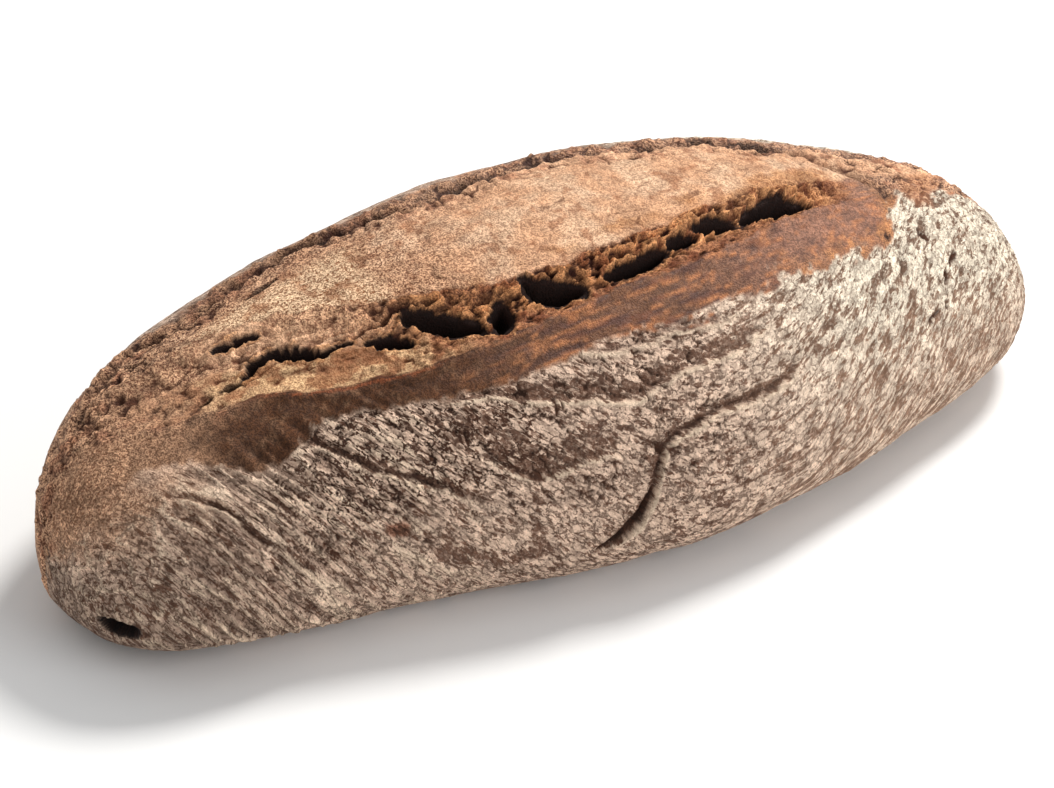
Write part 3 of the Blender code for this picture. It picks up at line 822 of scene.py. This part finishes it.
    def wear(self):
        """How much of the flour is gone, how crackled it is, and how grainy and glossy the rest is."""
        x, girth, band, flour, rightward = self.x, self.girth, self.band, self.floured, self.rightward
        patches = self.noise(7.0, 92) + 0.6 * self.noise(3.0, 99)
        worn = 0.20 + 0.08 * self.left_end + 0.22 * rises(patches, -0.1, 0.7)
        worn = worn + 0.08 * rightward + 0.10 * rightward * falls(girth, 0, 34) - 0.4 * self.fold_rim
        worn = worn - 0.25 * self.crests + 0.4 * self.patch(*LOW_BROWN_PATCH)
        worn = worn + 0.4 * self.patch(*HIGH_BROWN_PATCH) + 0.6 * self.red + 0.5 * self.orange
        worn = worn - 0.16 * rises(x, 30, 60) * rises(girth, 20, 50)
        worn = worn + 0.42 * self.gullies - 0.12 * self.streams
        worn = worn + 0.06 * hump(x, 0, 40, 15) * falls(girth, 0, 20)
        self.bare = np.clip(np.maximum(worn, 0.7 * self.fold_bare), 0, 1) * flour
        self.stretch = rises(x, 10, 50)
        self.crackle = np.maximum(flour, 0.9 * self.left_end * (1 - self.coarse))
        self.crackle = self.crackle * (1 - 0.7 * self.fold_rim) * (1 - 0.25 * rightward)
        self.crackle = self.crackle * (0.85 + 0.4 * self.bark)
        bare_skin = (1 - flour) * (1 - self.torn) * (1 - self.strip) * (1 - self.coarse)
        plain_skin = (0.3 * band + 0.35 * (1 - band) * (1 - self.left_end)) * bare_skin
        plain_skin = plain_skin + 0.4 * band * self.strip
        self.grain = np.clip(1 - 0.7 * flour - plain_skin - 0.35 * self.lip - 0.3 * self.torn_shelf, 0.15, 1)
        self.gloss = np.clip(band * (1 - flour) * (1 - self.torn) * (1 - self.strip), 0, 1)


def grid_mesh(name, points, skin, rows, tips):
    """A closed mesh of the rows between two, with flat webs from the outer rows to the loaf's middle."""
    columns = points.shape[0]
    picked = np.arange(rows[0], rows[1] + 1) % points.shape[1]
    index = np.arange(columns * len(picked)).reshape(columns, len(picked))
    core = index.size + np.arange(columns)
    a, b, c, d = index[:-1, :-1], index[1:, :-1], index[1:, 1:], index[:-1, 1:]
    quads = np.stack([a, b, c, d], -1).reshape(-1, 4)
    web = [np.stack([index[:-1, -1], index[1:, -1], core[1:], core[:-1]], -1)]
    web += [np.stack([core[:-1], core[1:], index[1:, 0], index[:-1, 0]], -1)]
    left, right = core[-1] + 1, core[-1] + 2
    fans = [(left, int(a), int(b)) for a, b in zip(index[0, :-1], index[0, 1:])]
    fans += [(right, int(b), int(a)) for a, b in zip(index[-1, :-1], index[-1, 1:])]
    first, last = index[:, 0], index[:, -1]
    caps = [(left, int(last[0]), int(core[0])), (left, int(core[0]), int(first[0]))]
    caps += [(right, int(core[-1]), int(last[-1])), (right, int(first[-1]), int(core[-1]))]
    places = np.concatenate([points[:, picked].reshape(-1, 3), points.mean(1), tips]) * MM
    mesh = bpy.data.meshes.new(name)
    mesh.from_pydata(places.tolist(), [], quads.tolist() + fans + np.concatenate(web).tolist() + caps)
    flat = np.zeros(len(mesh.polygons), bool)
    flat[len(quads) + len(fans):] = True
    mesh.shade_smooth()
    mesh.polygons.foreach_set("use_smooth", ~flat)
    inner = columns + 2
    for attribute in ("high", "low"):
        values = getattr(skin, attribute)[:, picked].reshape(-1, 3)
        values = np.concatenate([values, np.repeat(values[:1], inner, 0)])
        values = np.concatenate([values, np.ones((len(values), 1))], 1)
        stored = mesh.attributes.new(attribute, "FLOAT_COLOR", "POINT")
        stored.data.foreach_set("color", values.astype(np.float32).ravel())
    for attribute in ("crackle", "bare", "stretch", "grain", "gloss"):
        values = getattr(skin, attribute)[:, picked].ravel()
        values = np.concatenate([values, np.repeat(values[:1], inner)])
        stored = mesh.attributes.new(attribute, "FLOAT", "POINT")
        stored.data.foreach_set("value", values.astype(np.float32))
    values = skin.flow[:, picked].reshape(-1, 3)
    stored = mesh.attributes.new("flow", "FLOAT_VECTOR", "POINT")
    values = np.concatenate([values, np.repeat(values[:1], inner, 0)])
    stored.data.foreach_set("vector", (values * MM).astype(np.float32).ravel())
    return mesh


class Nodes:
    """Adds nodes to a material, with sockets linked or set by name."""

    def __init__(self, material):
        material.use_nodes = True
        self.tree = material.node_tree
        self.shader = self.tree.nodes["Principled BSDF"]

    def add(self, kind, output=0, settings=(), **inputs):
        """An output of a new node. Inputs are named, with _ for a space, or numbered as i0, i1 and so on."""
        node = self.tree.nodes.new("ShaderNode" + kind)
        for name, value in dict(settings).items():
            setattr(node, name, value)
        for name, value in inputs.items():
            key = int(name[1:]) if name[1:].isdigit() else name.replace("_", " ")
            self.put(node.inputs[key], value)
        return node.outputs[output]

    def put(self, socket, value):
        if isinstance(value, bpy.types.NodeSocket):
            self.tree.links.new(value, socket)
        else:
            socket.default_value = value

    def read(self, attribute, output):
        return self.add("Attribute", output, {"attribute_name": attribute})

    def maths(self, operation, a, b=0.0, clamp=False):
        return self.add("Math", settings={"operation": operation, "use_clamp": clamp}, i0=a, i1=b)

    def multiply_add(self, value, factor, addend):
        return self.add("Math", settings={"operation": "MULTIPLY_ADD"}, i0=value, i1=factor, i2=addend)

    def step(self, value, low, high, start=0.0, end=1.0):
        """Goes smoothly from start to end while the value goes from low to high."""
        settings = {"interpolation_type": "SMOOTHSTEP"}
        return self.add("MapRange", 0, settings, i0=value, i1=low, i2=high, i3=start, i4=end)

    def noise(self, place, size, detail=2.0, roughness=0.5):
        return self.add("TexNoise", Vector=place, Scale=1 / (size * MM), Detail=detail, Roughness=roughness)

    def cracks(self, place, size, waver, width):
        """Ragged lines between cells of that size, where waver and width are shares of it."""
        away = self.add("TexVoronoi", 0, {"feature": "DISTANCE_TO_EDGE"}, Vector=place, Scale=1 / (size * MM))
        return self.step(self.maths("ADD", away, waver), 0.005, width, 1.0, 0.0)

    def scaled(self, place, factors):
        return self.add("VectorMath", settings={"operation": "MULTIPLY"}, i0=place, i1=factors)

    def moved(self, place, way, distance):
        """A place moved that many millimetres times a way."""
        factor = (distance * MM,) * 3
        return self.add("VectorMath", settings={"operation": "MULTIPLY_ADD"}, i0=way, i1=factor, i2=place)

    def blended(self, first, second, share):
        return self.add("Mix", 2, {"data_type": "RGBA"}, Factor=share, i6=first, i7=second)


# The crackle of the flour, where the contrast is how much the plates differ in how worn they are.
PLATE_SIZE = 2.2
GRAIN_SIZE = 1.05
PLATE_CONTRAST = 0.09
CRUST_SPECULAR = 0.3


def crust_material():
    """Grains and gaps in the colours of the mesh, parted by a crackle where there is flour."""
    material = bpy.data.materials.new("rye_crust")
    nodes = Nodes(material)
    high, low = nodes.read("high", 0), nodes.read("low", 0)
    names = ("crackle", "bare", "stretch", "grain", "gloss")
    crackle, bare, stretch, grain, gloss = (nodes.read(name, 2) for name in names)
    place = nodes.add("TexCoord", 3)
    flow = nodes.read("flow", 1)

    # Cracks part the flour into plates, long in the way the skin runs, and finer gaps part it into grains.
    per_plate = 1 / (PLATE_SIZE * MM)
    drift = nodes.add("TexNoise", 1, Vector=flow, Scale=per_plate, Detail=2.0, Roughness=0.65)
    bent = nodes.moved(flow, drift, 2.2)
    long_way = nodes.scaled(bent, (0.5, 1, 1))
    coming = nodes.noise(place, 4.0, 1.0, 0.6)
    torn_edge = nodes.step(nodes.noise(place, 0.8, 2.0, 0.6), 0.3, 0.7, -0.10, 0.10)
    wide_net = nodes.cracks(long_way, PLATE_SIZE, torn_edge, nodes.step(coming, 0.36, 0.66, 0.02, 0.24))
    grit = nodes.add("TexVoronoi", 0, Vector=nodes.scaled(bent, (0.6, 1, 1)), Scale=1 / (GRAIN_SIZE * MM))
    fine_net = nodes.step(nodes.maths("ADD", grit, torn_edge), 0.45, 0.78)
    plate = nodes.add("TexVoronoi", 1, Vector=long_way, Scale=per_plate)
    lines = nodes.maths("MAXIMUM", wide_net, nodes.maths("MULTIPLY", fine_net, 0.55))
    lines = nodes.maths("MULTIPLY", lines, crackle)

    # Gaps in the flour, where more of it is gone the larger they are.
    crumbs = nodes.noise(place, 1.0, 2.0, 0.7)
    mottles = nodes.noise(nodes.scaled(bent, (0.5, 1, 1)), 1.7, 2.0, 0.7)
    eased = nodes.moved(flow, drift, 0.8)
    streaks = nodes.noise(nodes.scaled(eased, (0.2, 1, 1)), 1.35, 2.0, 0.7)
    values = nodes.add("Mix", 0, Factor=stretch, i2=mottles, i3=streaks)
    less = nodes.multiply_add(bare, -0.34, values)
    thinner = nodes.multiply_add(plate, -PLATE_CONTRAST, nodes.maths("ADD", less, PLATE_CONTRAST / 2))
    worn = nodes.step(bare, 0.0, 0.1)
    gaps = nodes.step(thinner, 0.31, 0.40, 1.0, 0.0)
    gaps = nodes.maths("MULTIPLY", gaps, worn)
    gaps = nodes.maths("MULTIPLY", gaps, nodes.step(crumbs, 0.34, 0.56, 0.66, 1.0))
    cores = nodes.step(thinner, 0.23, 0.33, 1.0, 0.0)
    cores = nodes.maths("MULTIPLY", cores, nodes.step(grit, 0.3, 0.55, 0.15, 0.6))
    cores = nodes.maths("MULTIPLY", cores, worn)

    # Grains of crust and crumb.
    grains = nodes.step(crumbs, 0.34, 0.62, 1.0, 0.0)
    specks = nodes.step(nodes.noise(place, 0.5, 1.0), 0.38, 0.62, 1.0, 0.0)
    dark = nodes.multiply_add(specks, 0.45, nodes.maths("MULTIPLY", grains, 0.6))
    dark = nodes.maths("MULTIPLY", dark, grain)
    dark = nodes.maths("MAXIMUM", dark, nodes.maths("MULTIPLY", gaps, 0.92), clamp=True)
    dark = nodes.maths("MAXIMUM", dark, nodes.maths("MULTIPLY", specks, 0.3), clamp=True)
    dark_lines = nodes.maths("MAXIMUM", nodes.maths("MULTIPLY", lines, 0.95), cores, clamp=True)

    # Colour, gloss and bumps.
    tint = nodes.blended(high, low, dark)
    deep = nodes.add("VectorMath", settings={"operation": "SCALE"}, i0=low, Scale=0.45)
    tint = nodes.blended(tint, deep, dark_lines)
    shades = nodes.step(nodes.noise(place, 5.0, 2.0, 0.7), 0.3, 0.7, 0.82, 1.18)
    tint = nodes.add("VectorMath", settings={"operation": "SCALE"}, i0=tint, Scale=shades)
    nodes.put(nodes.shader.inputs["Base Color"], tint)
    rough = nodes.multiply_add(gloss, -0.3, nodes.step(coming, 0.3, 0.7, 0.8, 0.95))
    nodes.put(nodes.shader.inputs["Roughness"], rough)
    nodes.put(nodes.shader.inputs["Specular IOR Level"], CRUST_SPECULAR)
    level = nodes.maths("SUBTRACT", 1.0, nodes.maths("MAXIMUM", dark, lines))
    bump = nodes.add("Bump", Strength=0.9, Distance=0.35 * MM, Height=level)
    lumps = nodes.noise(place, 2.2, 2.0, 0.6)
    bump = nodes.add("Bump", Strength=0.7, Distance=0.5 * MM, Height=lumps, Normal=bump)
    nodes.put(nodes.shader.inputs["Normal"], bump)
    return material


def build_loaf():
    """The loaf as four closed pieces that meet along the burst, in the back crack and at the base.

    Returns how far the loaf was moved along Y to fit the solid's box, for the camera to follow.
    """
    share = np.arange(1, COLUMNS) / COLUMNS
    turn = 180 * (share + COLUMN_EVENNESS * np.sin(2 * np.pi * share) / (2 * np.pi))
    girth = girth_rows(-LENGTH / 2 * np.cos(np.radians(turn)))
    skin = Skin(np.repeat(turn[:, None], girth.shape[1], 1), girth)
    points = skin.points()
    tips = np.array([points[0].mean(0), points[-1].mean(0)])
    everything = np.concatenate([points.reshape(-1, 3), tips])
    lowest, highest = everything.min(0), everything.max(0)
    cad_low, cad_high = (np.array(corner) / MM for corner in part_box("loaf"))
    stretch = (cad_high - cad_low) / (highest - lowest)
    material = crust_material()
    rows = points.shape[1]
    spans = {
        "floury_front": (BASE_ROW, TORN_ROW),
        "burst": (TORN_ROW, LIP_ROW),
        "crown": (LIP_ROW, CRACK_ROW),
        "back_and_base": (CRACK_ROW, rows + BASE_ROW),
    }
    fitted, fitted_tips = ((places - lowest) * stretch + cad_low for places in (points, tips))
    for name, span in spans.items():
        mesh = grid_mesh(name, fitted, skin, span, fitted_tips)
        mesh.materials.append(material)
        piece = bpy.data.objects.new(name, mesh)
        bpy.context.scene.collection.objects.link(piece)
        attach(piece, "root")
        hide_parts("loaf")
    return (cad_low - lowest)[1]


# The camera: where it looks from, and how the form's middle line lies in its picture.
CAMERA_TURN = 32.91
CAMERA_ELEVATION = 31.52
CAMERA_ROLL = 0.59
CAMERA_DISTANCE = 1100.0
AIMED_AT = (0.0, 0.0, 40.0)
FOCAL_PIXELS = 3847.5
IMAGE_WIDTH = 1054
OFF_CENTRE = (14.8, -50.5)  # where the aimed point lies from the picture's middle, in pixels right and down
SENSOR_WIDTH = 36.0
NEAREST_SEEN, FARTHEST_SEEN = 0.05, 20.0

# The stage, in metres: its floor, its sky and its two round lights.
FLOOR_REACH = 6.0
FLOOR_COLOUR = (0.86, 0.86, 0.855, 1)
FLOOR_ROUGHNESS = 0.9
SKY_COLOUR = (1, 1, 1, 1)
SKY_STRENGTH = 0.55
LIGHTS = {  # name: (place, width, power, colour)
    "key": ((0.9, 0.3, 1.4), 0.5, 26, (1, 0.98, 0.95)),
    "fill": ((0.6, -1.5, 0.8), 1.2, 12, (0.97, 0.98, 1)),
}


def add_camera(moved_y):
    """The camera fitted to the photo's outline, moved along Y with the loaf."""
    turn, tilt, roll = np.radians([CAMERA_TURN, CAMERA_ELEVATION, CAMERA_ROLL])
    ahead = Vector((np.sin(turn) * np.cos(tilt), np.cos(turn) * np.cos(tilt), -np.sin(tilt)))
    right = Vector((np.cos(turn), -np.sin(turn), 0))
    up = right.cross(ahead)
    right, up = right * np.cos(roll) + up * np.sin(roll), up * np.cos(roll) - right * np.sin(roll)
    place = Vector(AIMED_AT) + Vector((0, moved_y, 0)) - ahead * CAMERA_DISTANCE
    across, down = (value / FOCAL_PIXELS for value in OFF_CENTRE)
    ahead = (ahead - right * across + up * down).normalized()
    right = (right - ahead * right.dot(ahead)).normalized()
    up = right.cross(ahead)
    data = bpy.data.cameras.new("camera")
    data.sensor_width = SENSOR_WIDTH
    data.lens = FOCAL_PIXELS / IMAGE_WIDTH * SENSOR_WIDTH
    data.clip_start, data.clip_end = NEAREST_SEEN, FARTHEST_SEEN
    camera = bpy.data.objects.new("camera", data)
    camera.matrix_world = Matrix.Translation(place * MM) @ Matrix((right, up, -ahead)).transposed().to_4x4()
    bpy.context.scene.collection.objects.link(camera)
    bpy.context.scene.camera = camera


def add_light(name, place, size, power, tone):
    data = bpy.data.lights.new(name, "AREA")
    data.shape = "DISK"
    data.size = size
    data.energy = power
    data.color = tone
    light = bpy.data.objects.new(name, data)
    light.location = place
    light.rotation_mode = "QUATERNION"
    light.rotation_quaternion = (-Vector(place)).to_track_quat("-Z", "Y")
    bpy.context.scene.collection.objects.link(light)


def add_stage():
    """A plain pale floor, soft light from above and behind, and a pale sky."""
    mesh = bpy.data.meshes.new("floor")
    corners = [(x * FLOOR_REACH, y * FLOOR_REACH, 0) for x, y in ((-1, -1), (1, -1), (1, 1), (-1, 1))]
    mesh.from_pydata(corners, [], [(0, 1, 2, 3)])
    material = bpy.data.materials.new("floor_paper")
    nodes = Nodes(material)
    nodes.put(nodes.shader.inputs["Base Color"], FLOOR_COLOUR)
    nodes.put(nodes.shader.inputs["Roughness"], FLOOR_ROUGHNESS)
    mesh.materials.append(material)
    floor = bpy.data.objects.new("floor", mesh)
    bpy.context.scene.collection.objects.link(floor)
    world = bpy.data.worlds.new("sky")
    world.use_nodes = True
    world.node_tree.nodes["Background"].inputs["Color"].default_value = SKY_COLOUR
    world.node_tree.nodes["Background"].inputs["Strength"].default_value = SKY_STRENGTH
    bpy.context.scene.world = world
    for name, light in LIGHTS.items():
        add_light(name, *light)
    bpy.context.scene.view_settings.view_transform = "Standard"


add_camera(build_loaf())
add_stage()
